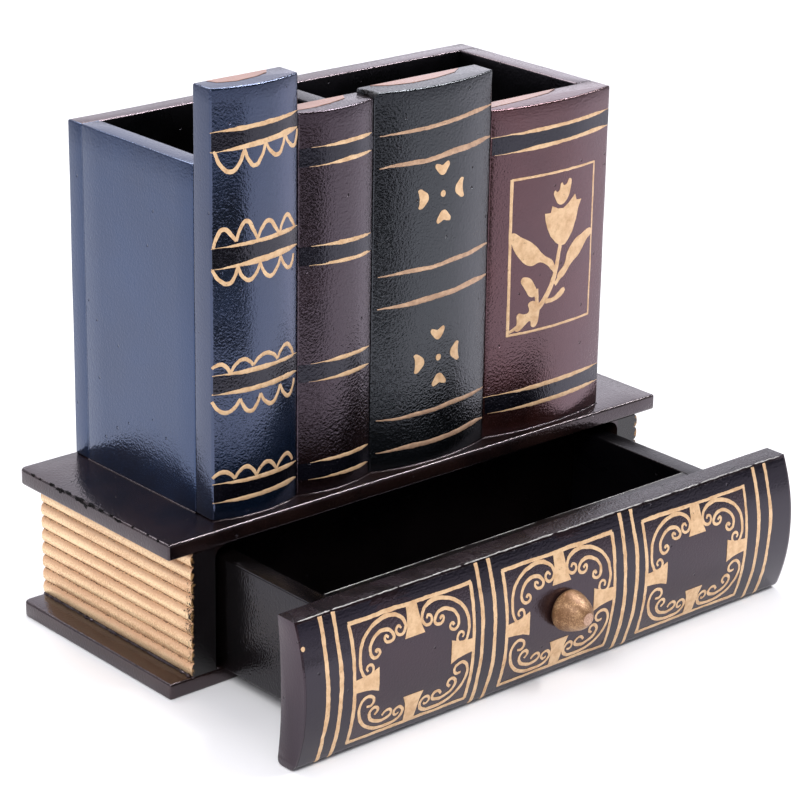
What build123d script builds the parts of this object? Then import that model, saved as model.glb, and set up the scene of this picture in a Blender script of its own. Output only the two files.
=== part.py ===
from build123d import *
import os

# Pen stand made to look like four books standing on one large lying book,
# with a drawer behind the spine of the lying book. Millimetres.
# Origin: centre of the underside of the bottom board. +X runs along the long
# side, +Y to the back, +Z up. The drawer is drawn pulled out.

# ---------------------------------------------------------------- lying book
board_length = 240.0
board_depth = 92.5
board_thickness = 6.0
board_edge_radius = 0.9
page_block_height = 47.5
page_block_thickness = 10.9
page_block_setback = 9.4
page_reeds = 9
page_reed_depth = 1.4
base_back_thickness = 8.5
putty_radius = 4.5

# ------------------------------------------------------------------- pen box
box_height = 128.5
box_end_margin = 25.0
box_back_setback = 1.0
box_panel_thickness = 8.5
box_rim_radius = 1.2
divider_offset = -6.7

# ------------------------------- standing spines, from left to right, named by
# the colour of their book; the brown one takes the width that is left and is
# level with the pen box, which the others rise above
blue_spine_width = 38.0
maroon_spine_width = 34.4
green_spine_width = 56.6
blue_spine_rise = 28.5
maroon_spine_rise = 14.0
green_spine_rise = 15.5
blue_spine_bulge = 3.8
maroon_spine_bulge = 3.5
green_spine_bulge = 5.0
brown_spine_bulge = 4.0
spine_end_thickness = 10.0
spine_front_setback = 7.5
spine_edge_radius = 0.8

# -------------------------------------------------------------------- drawer
drawer_pulled_out = 60.0
drawer_closed_gap = 0.3
drawer_slide_gap = 0.3
drawer_side_clearance = 2.5
drawer_top_clearance = 4.7
drawer_tail_clearance = 3.0
drawer_wall_thickness = 8.5
drawer_front_wall_thickness = 14.5
drawer_bottom_thickness = 3.0
face_floor_gap = 0.3
face_overlap = 2.0
face_end_thickness = 8.6
face_outer_bulge = 5.8
face_inner_hollow = 2.0
face_edge_radius = 1.2

# ---------------------------------------------------------------------- knob
knob_radius = 7.8
knob_neck_radius = 4.6
knob_tip_radius = 2.7
knob_neck_length = 0.8
knob_back_length = 3.5
knob_nose_length = 7.7

# ----------------------------------------------------------------- fastenings
brad_radius = 0.7
brad_length = 15.0
brad_end_margin = 12.0
base_brads_per_row = 3
box_brads_per_panel = 3
floor_brads_per_panel = 2
drawer_brads_per_corner = 2
screw_shank_radius = 1.6
screw_head_radius = 3.6
screw_head_thickness = 2.2
screw_head_edge_radius = 1.1
screw_depth_in_knob = 7.0

# -------------------------------------------------------------- worked places
front_y = -board_depth / 2
back_y = board_depth / 2
ceiling_z = board_thickness + page_block_height
base_top = ceiling_z + board_thickness
block_outer_x = board_length / 2 - page_block_setback
block_inner_x = block_outer_x - page_block_thickness
base_back_y = back_y - base_back_thickness

box_side_x = board_length / 2 - box_end_margin
box_top = base_top + box_height
box_back_y = back_y - box_back_setback
box_inner_back_y = box_back_y - box_panel_thickness
spine_corner_y = front_y + spine_front_setback
spine_back_y = spine_corner_y + spine_end_thickness
maroon_spine_x = -box_side_x + blue_spine_width
green_spine_x = maroon_spine_x + maroon_spine_width
brown_spine_x = green_spine_x + green_spine_width

rim_y = front_y - drawer_closed_gap - drawer_pulled_out
drawer_side_x = block_inner_x - drawer_side_clearance
drawer_inner_x = drawer_side_x - drawer_wall_thickness
drawer_floor_z = board_thickness + drawer_slide_gap
drawer_top_z = ceiling_z - drawer_top_clearance
drawer_tail_y = base_back_y - drawer_tail_clearance - drawer_pulled_out
face_top_z = ceiling_z + face_overlap
face_mid_z = (face_floor_gap + face_top_z) / 2
face_corner_y = rim_y - face_end_thickness
face_front_y = face_corner_y - face_outer_bulge
face_back_y = rim_y - face_inner_hollow
front_wall_back_y = rim_y + drawer_front_wall_thickness


def block(x_span, y_span, z_span):
    """Square-edged board that fills the three spans."""
    low = [min(span) for span in (x_span, y_span, z_span)]
    size = [max(span) - min(span) for span in (x_span, y_span, z_span)]
    return Pos(*low) * Box(*size, align=(Align.MIN, Align.MIN, Align.MIN))


def spread(count, start, end):
    """Evenly spaced places from start to end."""
    step = (end - start) / (count - 1)
    return [start + step * number for number in range(count)]


# ------------------------------------------------------------------ fastenings
def brad(start, direction):
    """Headless wire nail driven in from start, flush with the wood."""
    return extrude(Plane(origin=start, z_dir=direction) * Circle(brad_radius), brad_length)


def base_brads():
    """Hold both boards of the lying book to the two page blocks."""
    x = (block_outer_x - page_reed_depth + block_inner_x) / 2
    nails = []
    for y in spread(base_brads_per_row, front_y + brad_end_margin, back_y - brad_end_margin):
        for side in (-1, 1):
            nails.append(brad((side * x, y, base_top), (0, 0, -1)))
            nails.append(brad((side * x, y, 0), (0, 0, 1)))
    return nails


def box_brads():
    """Hold the upright panels to the back panel and to the board below them."""
    side_x = box_side_x - box_panel_thickness / 2
    low_z = base_top + brad_length + brad_end_margin
    near_y = spine_back_y + brad_end_margin
    far_y = box_inner_back_y - brad_end_margin
    nails = []
    for x in (-side_x, divider_offset, side_x):
        for z in spread(box_brads_per_panel, low_z, box_top - brad_end_margin):
            nails.append(brad((x, box_back_y, z), (0, -1, 0)))
        for y in spread(floor_brads_per_panel, near_y, far_y):
            nails.append(brad((x, y, ceiling_z), (0, 0, 1)))
    return nails


def drawer_brads():
    """Hold the drawer's sides to its front wall and its back wall."""
    front_nail_y = rim_y + drawer_front_wall_thickness / 2
    back_nail_y = drawer_tail_y - drawer_wall_thickness / 2
    low_z = drawer_floor_z + brad_end_margin
    high_z = drawer_top_z - brad_end_margin
    nails = []
    for y in (front_nail_y, back_nail_y):
        for z in spread(drawer_brads_per_corner, low_z, high_z):
            for side in (-1, 1):
                nails.append(brad((side * drawer_side_x, y, z), (-side, 0, 0)))
    return nails


def drilled(solid, fasteners):
    """The solid with a snug hole for each fastener."""
    for fastener in fasteners:
        solid = solid - fastener
    return solid


# ------------------------------------------------------------------ lying book
def cover_board(bottom_z):
    """Cover of the lying book, with slightly rounded edges."""
    half = board_length / 2
    board = block((-half, half), (front_y, back_y), (bottom_z, bottom_z + board_thickness))
    return drilled(fillet(board.edges(), board_edge_radius), base_brads())


def bottom_board():
    return cover_board(0)


def top_board():
    """Upper cover of the lying book, which is also the floor of the pen box."""
    return drilled(cover_board(ceiling_z), box_brads())


def page_block(side):
    """Edge of the pages: a wooden block whose outer face is cut in round reeds."""
    pitch = page_block_height / page_reeds
    valley_x = block_outer_x - page_reed_depth
    outline = [Line((block_inner_x, board_thickness), (valley_x, board_thickness))]
    for reed in range(page_reeds):
        low = board_thickness + reed * pitch
        high = low + pitch
        crest = (block_outer_x, (low + high) / 2)
        outline.append(ThreePointArc((valley_x, low), crest, (valley_x, high)))
    outline.append(Line((valley_x, ceiling_z), (block_inner_x, ceiling_z)))
    outline.append(Line((block_inner_x, ceiling_z), (block_inner_x, board_thickness)))
    section = Plane(origin=(0, back_y, 0), x_dir=(1, 0, 0), z_dir=(0, -1, 0)) * make_face(outline)
    reeded = extrude(section, board_depth)
    if side < 0:
        reeded = mirror(reeded, Plane.YZ)
    return drilled(reeded, base_brads())


def base_back_board():
    """Closes the lying book at the back, between the page blocks."""
    return block((-block_inner_x, block_inner_x), (base_back_y, back_y), (board_thickness, ceiling_z))


def corner_putty(side):
    """Hollow strip of wood filler along an upper corner of the drawer's bay."""
    x, z = block_inner_x - putty_radius, ceiling_z - putty_radius
    strip = block((x, block_inner_x), (front_y, base_back_y), (z, ceiling_z))
    start = Plane(origin=(x, front_y, z), z_dir=(0, 1, 0))
    smoothed = strip - extrude(start * Circle(putty_radius), base_back_y - front_y)
    return smoothed if side > 0 else mirror(smoothed, Plane.YZ)


# --------------------------------------------------------------------- pen box
def rounded_rim(panel, along):
    """Take the sharpness off the top edges that run along one axis."""
    return fillet(panel.edges().filter_by(along).group_by(Axis.Z)[-1], box_rim_radius)


def box_back_panel():
    """Full-width panel that covers the back ends of the side panels."""
    panel = block((-box_side_x, box_side_x), (box_inner_back_y, box_back_y), (base_top, box_top))
    panel = fillet(panel.edges().filter_by(Axis.Z).group_by(Axis.Y)[-1], box_rim_radius)
    return drilled(rounded_rim(panel, Axis.X), box_brads())


def upright_panel(middle_x):
    """Panel from the spines to the back panel, centred on one place."""
    half = box_panel_thickness / 2
    panel = block((middle_x - half, middle_x + half), (spine_back_y, box_inner_back_y), (base_top, box_top))
    return drilled(rounded_rim(panel, Axis.Y), box_brads())


def box_side_panel(side):
    return upright_panel(side * (box_side_x - box_panel_thickness / 2))


def box_divider():
    """Parts the pen box in a narrow left slot and a wide right slot."""
    return upright_panel(divider_offset)


def spine(left, right, bulge, rise=0):
    """One book's spine: flat at the back, rounded in front, on the top board."""
    crown = ((left + right) / 2, spine_corner_y - bulge)
    outline = [
        Line((left, spine_back_y), (left, spine_corner_y)),
        ThreePointArc((left, spine_corner_y), crown, (right, spine_corner_y)),
        Line((right, spine_corner_y), (right, spine_back_y)),
        Line((right, spine_back_y), (left, spine_back_y)),
    ]
    stave = extrude(Plane.XY.offset(base_top) * make_face(outline), box_height + rise)
    stave = fillet(stave.edges().filter_by(Axis.Z).group_by(Axis.Y)[0], spine_edge_radius)
    return fillet(stave.edges().group_by(Axis.Z)[-1], spine_edge_radius)


# ---------------------------------------------------------------------- drawer
def face_blank():
    """Curved spine of the lying book, before its screw hole is drilled."""
    low, high = face_floor_gap, face_top_z
    outline = [
        ThreePointArc((face_corner_y, low), (face_front_y, face_mid_z), (face_corner_y, high)),
        Line((face_corner_y, high), (rim_y, high)),
        ThreePointArc((rim_y, high), (face_back_y, face_mid_z), (rim_y, low)),
        Line((rim_y, low), (face_corner_y, low)),
    ]
    end = Plane(origin=(-board_length / 2, 0, 0), x_dir=(0, 1, 0), z_dir=(1, 0, 0))
    plank = extrude(end * make_face(outline), board_length)
    return fillet(plank.edges(), face_edge_radius)


def drawer_face():
    return drilled(face_blank(), [knob_screw()])


def fitted_to_face(board):
    """Trim a board's front end to the hollow back of the face."""
    half_height = face_top_z - face_mid_z
    radius = (half_height ** 2 + face_inner_hollow ** 2) / (2 * face_inner_hollow)
    end = Plane(origin=(-board_length / 2, face_back_y + radius, face_mid_z), z_dir=(1, 0, 0))
    return board & extrude(end * Circle(radius), board_length)


def drawer_front_wall():
    """Thick wall behind the face, between the drawer's sides."""
    x_span = (-drawer_inner_x, drawer_inner_x)
    wall = block(x_span, (face_back_y, front_wall_back_y), (drawer_floor_z, drawer_top_z))
    return drilled(fitted_to_face(wall), drawer_brads() + [knob_screw()])


def drawer_side(side):
    """Side wall, from the face to the tail of the drawer."""
    x_span = (side * drawer_inner_x, side * drawer_side_x)
    wall = block(x_span, (face_back_y, drawer_tail_y), (drawer_floor_z, drawer_top_z))
    return drilled(fitted_to_face(wall), drawer_brads())


def drawer_back_wall():
    x_span = (-drawer_inner_x, drawer_inner_x)
    y_span = (drawer_tail_y - drawer_wall_thickness, drawer_tail_y)
    return drilled(block(x_span, y_span, (drawer_floor_z, drawer_top_z)), drawer_brads())


def drawer_bottom():
    """Thin panel between the four walls, level with their undersides."""
    y_span = (front_wall_back_y, drawer_tail_y - drawer_wall_thickness)
    z_span = (drawer_floor_z, drawer_floor_z + drawer_bottom_thickness)
    return block((-drawer_inner_x, drawer_inner_x), y_span, z_span)


# ------------------------------------------------------------------------ knob
def knob_screw():
    """Pan-head screw from inside the drawer through the face into the knob."""
    length = front_wall_back_y - face_front_y + screw_depth_in_knob
    toward_front = Plane(origin=(0, front_wall_back_y, face_mid_z), z_dir=(0, -1, 0))
    shank = extrude(toward_front * Circle(screw_shank_radius), length)
    head = extrude(toward_front * Circle(screw_head_radius), -screw_head_thickness)
    return shank + fillet(head.edges().group_by(Axis.Y)[-1], screw_head_edge_radius)


def knob():
    """Turned wooden ball with a short neck, seated on the face."""
    widest = knob_neck_length + knob_back_length
    length = widest + knob_nose_length
    outline = [
        Line((0, -face_outer_bulge), (knob_neck_radius, -face_outer_bulge)),
        Line((knob_neck_radius, -face_outer_bulge), (knob_neck_radius, knob_neck_length)),
        Spline((knob_neck_radius, knob_neck_length), (knob_radius, widest), tangents=[(1, 0.15), (0, 1)]),
        Spline((knob_radius, widest), (knob_tip_radius, length), tangents=[(0, 1), (-1, 0.15)]),
        Line((knob_tip_radius, length), (0, length)),
        Line((0, length), (0, -face_outer_bulge)),
    ]
    turned = revolve(Plane.XZ * make_face(outline), Axis.Z)
    ball = Plane(origin=(0, face_front_y, face_mid_z), z_dir=(0, -1, 0)) * turned
    return drilled(ball - face_blank(), [knob_screw()])


nodes = {
    "bottom_board": bottom_board(),
    "page_block_left": page_block(-1),
    "page_block_right": page_block(1),
    "base_back_board": base_back_board(),
    "top_board": top_board(),
    "base_brads": Compound(children=base_brads()),
    "corner_putty_left": corner_putty(-1),
    "corner_putty_right": corner_putty(1),
    "box_left_panel": box_side_panel(-1),
    "box_divider": box_divider(),
    "box_right_panel": box_side_panel(1),
    "box_back_panel": box_back_panel(),
    "box_brads": Compound(children=box_brads()),
    "spine_blue": spine(-box_side_x, maroon_spine_x, blue_spine_bulge, blue_spine_rise),
    "spine_maroon": spine(maroon_spine_x, green_spine_x, maroon_spine_bulge, maroon_spine_rise),
    "spine_green": spine(green_spine_x, brown_spine_x, green_spine_bulge, green_spine_rise),
    "spine_brown": spine(brown_spine_x, box_side_x, brown_spine_bulge),
    "drawer_left_side": drawer_side(-1),
    "drawer_right_side": drawer_side(1),
    "drawer_front_wall": drawer_front_wall(),
    "drawer_back_wall": drawer_back_wall(),
    "drawer_bottom": drawer_bottom(),
    "drawer_brads": Compound(children=drawer_brads()),
    "drawer_face": drawer_face(),
    "knob": knob(),
    "knob_screw": knob_screw(),
}

os.makedirs("parts", exist_ok=True)
for name, shape in nodes.items():
    export_step(shape, "parts/" + name + ".step")
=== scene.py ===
import math
import bpy
from mathutils import Matrix, Vector, noise


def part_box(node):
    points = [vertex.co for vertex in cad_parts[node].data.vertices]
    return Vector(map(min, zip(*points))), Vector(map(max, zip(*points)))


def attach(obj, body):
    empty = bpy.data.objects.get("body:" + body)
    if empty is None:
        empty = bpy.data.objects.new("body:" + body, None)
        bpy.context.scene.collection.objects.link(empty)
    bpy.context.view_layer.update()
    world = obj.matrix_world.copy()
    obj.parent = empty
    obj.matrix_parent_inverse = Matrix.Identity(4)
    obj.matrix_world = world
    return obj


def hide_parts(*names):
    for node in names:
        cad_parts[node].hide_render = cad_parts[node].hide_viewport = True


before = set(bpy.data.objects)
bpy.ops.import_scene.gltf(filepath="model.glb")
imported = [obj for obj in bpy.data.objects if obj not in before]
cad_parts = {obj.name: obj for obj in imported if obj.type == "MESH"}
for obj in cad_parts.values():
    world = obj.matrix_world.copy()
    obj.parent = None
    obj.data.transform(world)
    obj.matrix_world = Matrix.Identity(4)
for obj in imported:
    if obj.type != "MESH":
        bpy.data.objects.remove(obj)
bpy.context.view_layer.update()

mm = 0.001

# ------------------------------------------------------------------ cover boards
# The lying book's two covers and its back are thin fibreboard, sawn square,
# sanded soft at the edges and brushed with a brown-black varnish that dries
# glossy, with the orange-peel of a thick hand coat.


def srgb(red, green, blue):
    """Colour given as 0-255 screen values."""
    shares = [value / 255 for value in (red, green, blue)]
    linear = [share / 12.92 if share <= 0.04045 else ((share + 0.055) / 1.055) ** 2.4 for share in shares]
    return (*linear, 1)


def add_node(tree, kind, inputs=None, **settings):
    """A shader node; an input is either a value or another node's socket."""
    node = tree.nodes.new(kind)
    for key, value in settings.items():
        setattr(node, key, value)
    for key, value in (inputs or {}).items():
        if isinstance(value, bpy.types.NodeSocket):
            tree.links.new(value, node.inputs[key])
        else:
            node.inputs[key].default_value = value
    return node


def object_place(tree):
    """The place on the object, which all patterns are laid by."""
    return add_node(tree, "ShaderNodeTexCoord").outputs["Object"]


def speckle(tree, place, scale, detail, roughness=0.5, distortion=0.0):
    """Noise about one half."""
    return add_node(tree, "ShaderNodeTexNoise", {
        "Vector": place, "Scale": scale, "Detail": detail, "Roughness": roughness,
        "Distortion": distortion}).outputs["Fac"]


def worked_out(tree, operation, *values):
    """The result of a sum of up to three values."""
    return add_node(tree, "ShaderNodeMath", dict(enumerate(values)), operation=operation).outputs[0]


def ranged(tree, value, from_min, from_max, to_min=0.0, to_max=1.0):
    """A value taken from one range to another and held within it."""
    return add_node(tree, "ShaderNodeMapRange", {
        "Value": value, "From Min": from_min, "From Max": from_max,
        "To Min": to_min, "To Max": to_max}).outputs["Result"]


def blended(tree, share, first, second):
    """A colour that goes from the first to the second as the share grows."""
    mix = add_node(tree, "ShaderNodeMix", {"Factor": share, 6: first, 7: second}, data_type="RGBA")
    return mix.outputs[2]


def new_group(name, inputs, outputs):
    """Empty shader node group; returns its tree, what it is given and what it puts out."""
    tree = bpy.data.node_groups.new(name, "ShaderNodeTree")
    for way, sockets in (("INPUT", inputs), ("OUTPUT", outputs)):
        for socket, kind in sockets.items():
            tree.interface.new_socket(socket, in_out=way, socket_type="NodeSocket" + kind)
    return tree, tree.nodes.new("NodeGroupInput").outputs, tree.nodes.new("NodeGroupOutput").inputs


def make_brushed_coat():
    """Thick varnish put on by brush: peel, drawn streaks, clouds and pin holes."""
    tree, given, result = new_group("brushed_coat", {"Place": "Vector", "Cloud Scale": "Float"},
                                    {"Height": "Float", "Cloud": "Float", "Pin Holes": "Float"})
    place = given["Place"]
    peel = speckle(tree, place, 1150.0, 1.5, 0.45, 0.25)
    drawn = add_node(tree, "ShaderNodeMapping", {
        "Vector": place, "Rotation": (0.25, 0.15, 0.1), "Scale": (1, 1, 0.45)})
    streak = speckle(tree, drawn.outputs["Vector"], 1500.0, 2.0, 0.55)
    swell = speckle(tree, place, 95.0, 1.0)
    fine = worked_out(tree, "MULTIPLY_ADD", streak, 0.35, peel)
    rolling = worked_out(tree, "MULTIPLY_ADD", swell, 0.45, fine)
    cloud = speckle(tree, place, given["Cloud Scale"], 5.0, 0.6, 0.6)
    dots = add_node(tree, "ShaderNodeTexVoronoi", {"Vector": place, "Scale": 120.0})
    hole = ranged(tree, dots.outputs["Distance"], 0.04, 0.075, 1.0, 0.0)
    tree.links.new(worked_out(tree, "MULTIPLY_ADD", hole, -2.5, rolling), result["Height"])
    tree.links.new(ranged(tree, cloud, 0.33, 0.68), result["Cloud"])
    tree.links.new(hole, result["Pin Holes"])
    return tree


brushed_coat = make_brushed_coat()


def new_material(name):
    """Material with nothing in its node tree."""
    material = bpy.data.materials.new(name)
    material.use_nodes = True
    material.node_tree.nodes.clear()
    return material


def add_finish(tree, inputs):
    """The painted surface itself, and the material's output."""
    finish = add_node(tree, "ShaderNodeBsdfPrincipled", inputs)
    add_node(tree, "ShaderNodeOutputMaterial", {"Surface": finish.outputs["BSDF"]})


def varnished(name, deep, light, gloss=0.5, tint=(0.9, 0.82, 1), roughness=0.17, haze=0.03, bump=0.00012,
              cloud_scale=28.0):
    """Dark hand paint that clouds from a deep tone into a light one, under a clouded glossy varnish."""
    material = new_material(name)
    tree = material.node_tree
    coat = add_node(tree, "ShaderNodeGroup", {"Place": object_place(tree), "Cloud Scale": cloud_scale},
                    node_tree=brushed_coat).outputs
    paint = blended(tree, coat["Cloud"], deep, light)
    bumps = add_node(tree, "ShaderNodeBump", {"Strength": 1.0, "Distance": bump, "Height": coat["Height"]})
    add_finish(tree, {
        "Base Color": blended(tree, coat["Pin Holes"], paint, srgb(4, 3, 4)),
        "Roughness": ranged(tree, coat["Cloud"], 0.0, 1.0, roughness * 0.75, roughness * 1.2),
        "Normal": bumps.outputs["Normal"],
        "IOR": 1.75, "Specular IOR Level": gloss, "Specular Tint": tint + (1,),
        "Coat Weight": haze, "Coat Roughness": 0.42})
    return material


def clear_selection():
    """Leave edit mode and select nothing."""
    if bpy.context.object and bpy.context.object.mode != "OBJECT":
        bpy.ops.object.mode_set(mode="OBJECT")
    bpy.ops.object.select_all(action="DESELECT")


def cut_in_cells(piece, axis, cell):
    """Bisect a selected piece square to one axis, once in each cell."""
    places = [vertex.co[axis] for vertex in piece.data.vertices]
    low, high = min(places), max(places)
    count = max(1, round((high - low) / cell))
    normal = [1.0 if index == axis else 0.0 for index in range(3)]
    bpy.ops.object.mode_set(mode="EDIT")
    for number in range(1, count):
        middle = [0.0, 0.0, 0.0]
        middle[axis] = low + (high - low) * number / count
        bpy.ops.mesh.select_all(action="SELECT")
        bpy.ops.mesh.bisect(plane_co=middle, plane_no=normal)
    bpy.ops.object.mode_set(mode="OBJECT")


noise.seed_set(7)  # so that the wood is uneven in the same way at each run


def sanded(place):
    """A point of a square-cut piece after sanding, which leaves the faces slightly uneven."""
    return place + noise.noise_vector(place * 48) * 0.11 * mm


def hand_finish(piece, edge_radius, segments=3):
    """Sand a piece: slightly uneven faces and rounded edges."""
    for vertex in piece.data.vertices:
        vertex.co = sanded(vertex.co)
    rounding = piece.modifiers.new("rounding", "BEVEL")
    rounding.width = edge_radius
    rounding.segments = segments
    rounding.limit_method = "ANGLE"
    rounding.angle_limit = math.radians(35)
    bpy.ops.object.modifier_apply(modifier="rounding")
    bpy.ops.object.shade_smooth_by_angle(angle=math.radians(32))


def round_back_corners(piece, radius):
    """Round the two upright corners at a board's back."""
    bpy.context.tool_settings.mesh_select_mode = (False, True, False)
    bpy.ops.object.mode_set(mode="EDIT")
    bpy.ops.mesh.select_all(action="DESELECT")
    bpy.ops.object.mode_set(mode="OBJECT")
    corners = piece.data.vertices
    middle_y = sum(vertex.co.y for vertex in corners) / len(corners)
    for edge in piece.data.edges:
        start, end = [corners[index].co for index in edge.vertices]
        upright = abs(start.x - end.x) + abs(start.y - end.y) < 0.01 * mm
        edge.select = upright and start.y > middle_y
    bpy.ops.object.mode_set(mode="EDIT")
    bpy.ops.mesh.bevel(offset=radius, segments=5, affect="EDGES")
    bpy.ops.object.mode_set(mode="OBJECT")
    bpy.context.tool_settings.mesh_select_mode = (True, False, False)


def sawn_board(name, node, body, edge_radius, paint, corner_radius=0, coat=0.04 * mm):
    """Painted board in the place of one CAD board, with its coat of paint on it."""
    low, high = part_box(node)
    clear_selection()
    bpy.ops.mesh.primitive_cube_add(size=1, location=(low + high) / 2)
    piece = bpy.context.object
    piece.name = name
    piece.scale = high - low + Vector((coat, coat, coat)) * 2
    bpy.ops.object.transform_apply(location=True, rotation=True, scale=True)
    if corner_radius:
        round_back_corners(piece, corner_radius)
    for axis in range(3):
        cut_in_cells(piece, axis, 11 * mm)
    hand_finish(piece, edge_radius)
    piece.data.materials.append(paint)
    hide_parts(node)
    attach(piece, body)
    return piece


cover_varnish = varnished("cover_varnish", srgb(8, 5, 6), srgb(32, 19, 16), gloss=0.43, tint=(1, 0.84, 0.93))
cover_edge_radius = 0.85 * mm
for node in ("bottom_board", "top_board"):
    sawn_board(node + "_varnished", node, "stand", cover_edge_radius, cover_varnish,
               corner_radius=3 * mm)
sawn_board("base_back_varnished", "base_back_board", "stand", 0.5 * mm, cover_varnish)


def make_broken_paint():
    """Paint broken raggedly round a centre, within a reach along each axis."""
    tree, given, result = new_group("broken_paint", {
        "Place": "Vector", "Centre": "Vector", "Reach": "Vector", "Grain": "Float", "Solid": "Float",
    }, {"Broken": "Float"})
    aside = add_node(tree, "ShaderNodeVectorMath", {0: given["Place"], 1: given["Centre"]},
                     operation="SUBTRACT")
    scaled = add_node(tree, "ShaderNodeVectorMath", {0: aside.outputs["Vector"], 1: given["Reach"]},
                      operation="DIVIDE")
    away = add_node(tree, "ShaderNodeVectorMath", {0: scaled.outputs["Vector"]}, operation="LENGTH")
    crumbs = speckle(tree, given["Place"], given["Grain"], 4.0, 0.75)
    ragged = worked_out(tree, "MULTIPLY_ADD", crumbs, 1.6, away.outputs["Value"])
    whole = worked_out(tree, "ADD", given["Solid"], 0.12)
    tree.links.new(ranged(tree, ragged, given["Solid"], whole, 1.0, 0.0), result["Broken"])
    return tree


broken_paint = make_broken_paint()


def finish_of(material):
    """A material's surface shader."""
    return next(node for node in material.node_tree.nodes if node.type == "BSDF_PRINCIPLED")


def source(node, key):
    """The socket that feeds one input of a node."""
    return node.inputs[key].links[0].from_socket


def chipped(material, centre, reach, bare, solid=1.25, grain=900.0):
    """Break a material's paint round one place, down to what is under it."""
    tree = material.node_tree
    finish = finish_of(material)
    bumps = source(finish, "Normal").node
    broken = add_node(tree, "ShaderNodeGroup", {
        "Place": object_place(tree), "Centre": centre, "Reach": reach, "Grain": grain, "Solid": solid,
    }, node_tree=broken_paint).outputs["Broken"]
    pitted = worked_out(tree, "MULTIPLY_ADD", broken, -5.0, source(bumps, "Height"))
    shown = blended(tree, broken, source(finish, "Base Color"), bare)
    dull = worked_out(tree, "MULTIPLY_ADD", broken, 0.5, source(finish, "Roughness"))
    tree.links.new(pitted, bumps.inputs["Height"])
    tree.links.new(shown, finish.inputs["Base Color"])
    tree.links.new(dull, finish.inputs["Roughness"])


board_low, board_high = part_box("top_board")
chipped(cover_varnish, (board_low.x, board_high.y - 42 * mm, board_high.z), (1.6 * mm, 38 * mm, 1.6 * mm),
        srgb(4, 3, 3), solid=1.15, grain=1300.0)

# ------------------------------------------------- filler strips and hidden nails
# Wood filler was run along the drawer bay's upper corners with a finger and
# varnished with the boards. Nails are driven flush and painted over.
for hidden in ("corner_putty_left", "corner_putty_right", "base_brads", "box_brads", "drawer_brads"):
    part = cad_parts[hidden]
    part.data.materials.clear()
    part.data.materials.append(cover_varnish)

# ------------------------------------------------------------------- page blocks
# The edges of the lying book's pages are wooden blocks, routed in round reeds
# and painted gold over a dark ground. Grit, dark ground and painted shade darken
# the grooves, each reed's upper flank is painted in a pinker shade, and the gold
# straggles a little way round onto the front ends.
reed_count = 9
reed_depth = 1.25 * mm


def make_flaked_gold():
    """Metal-flake hand paint: patchy, grainy, and thin enough here and there to show the ground."""
    tree, given, result = new_group("flaked_gold", {
        "Place": "Vector", "Brushed": "Vector", "Grain": "Float", "Sparkle": "Float",
        "Thin From": "Float", "Full From": "Float", "Full": "Color", "Thin": "Color", "Ground": "Color",
    }, {"Colour": "Color", "Thickness": "Float", "Flake": "Float"})
    drawn = add_node(tree, "ShaderNodeMapping", {"Vector": given["Place"], "Scale": given["Brushed"]})
    patch = speckle(tree, drawn.outputs["Vector"], 260.0, 4.0, 0.65)
    flake = speckle(tree, given["Place"], given["Grain"], 3.0, 0.7)
    speckled = worked_out(tree, "MULTIPLY_ADD", flake, given["Sparkle"], patch)
    thickness = ranged(tree, speckled, given["Thin From"], given["Full From"])
    gold = blended(tree, thickness, given["Thin"], given["Full"])
    covered = ranged(tree, flake, 0.26, 0.34)
    tree.links.new(blended(tree, covered, given["Ground"], gold), result["Colour"])
    tree.links.new(thickness, result["Thickness"])
    tree.links.new(flake, result["Flake"])
    return tree


flaked_gold = make_flaked_gold()


def gold_paint(name, full, thin, ground, cover=0.30, metallic=0.45, roughness=0.42, grain=900.0,
               bump=0.00004, brushed=(1, 1, 1), sparkle=0.35):
    """Gold hand paint in its full tone, its thin tone and the tone of the ground below it."""
    material = new_material(name)
    tree = material.node_tree
    thin_from = cover + sparkle / 2
    flakes = add_node(tree, "ShaderNodeGroup", {
        "Place": object_place(tree), "Brushed": brushed, "Grain": grain, "Sparkle": sparkle,
        "Thin From": thin_from, "Full From": thin_from + 0.3, "Full": full, "Thin": thin, "Ground": ground,
    }, node_tree=flaked_gold).outputs
    bumps = add_node(tree, "ShaderNodeBump", {"Strength": 1.0, "Distance": bump, "Height": flakes["Flake"]})
    add_finish(tree, {
        "Base Color": flakes["Colour"], "Metallic": metallic,
        "Roughness": ranged(tree, flakes["Thickness"], 0.0, 1.0, roughness * 1.2, roughness * 0.9),
        "Normal": bumps.outputs["Normal"], "Coat Weight": 0.1, "Coat Roughness": 0.3})
    return material


page_gold = gold_paint("page_gold", srgb(252, 222, 176), srgb(216, 172, 130), srgb(96, 66, 42),
                       cover=0.32, metallic=0.5, roughness=0.34, grain=1500.0, bump=0.00013,
                       brushed=(1, 0.1, 1), sparkle=1.3)
page_end = gold_paint("page_end_gold", srgb(214, 172, 118), srgb(150, 108, 62), srgb(40, 26, 18),
                      cover=0.4, metallic=0.3, roughness=0.4, grain=1300.0, bump=0.00012)


def new_piece(name, data):
    """Put a mesh or a curve in the scene, as the one selected object."""
    clear_selection()
    piece = bpy.data.objects.new(name, data)
    bpy.context.collection.objects.link(piece)
    bpy.context.view_layer.objects.active = piece
    piece.select_set(True)
    return piece


def drawn_out(name, outline, travel):
    """Closed outline of points in space, extruded along travel into a solid."""
    mesh = bpy.data.meshes.new(name)
    mesh.from_pydata(outline, [], [list(range(len(outline)))])
    piece = new_piece(name, mesh)
    bpy.ops.object.mode_set(mode="EDIT")
    bpy.ops.mesh.select_all(action="SELECT")
    bpy.ops.mesh.extrude_region_move(TRANSFORM_OT_translate={"value": travel})
    bpy.ops.mesh.select_all(action="SELECT")
    bpy.ops.mesh.normals_make_consistent(inside=False)
    bpy.ops.object.mode_set(mode="OBJECT")
    return piece


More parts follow.
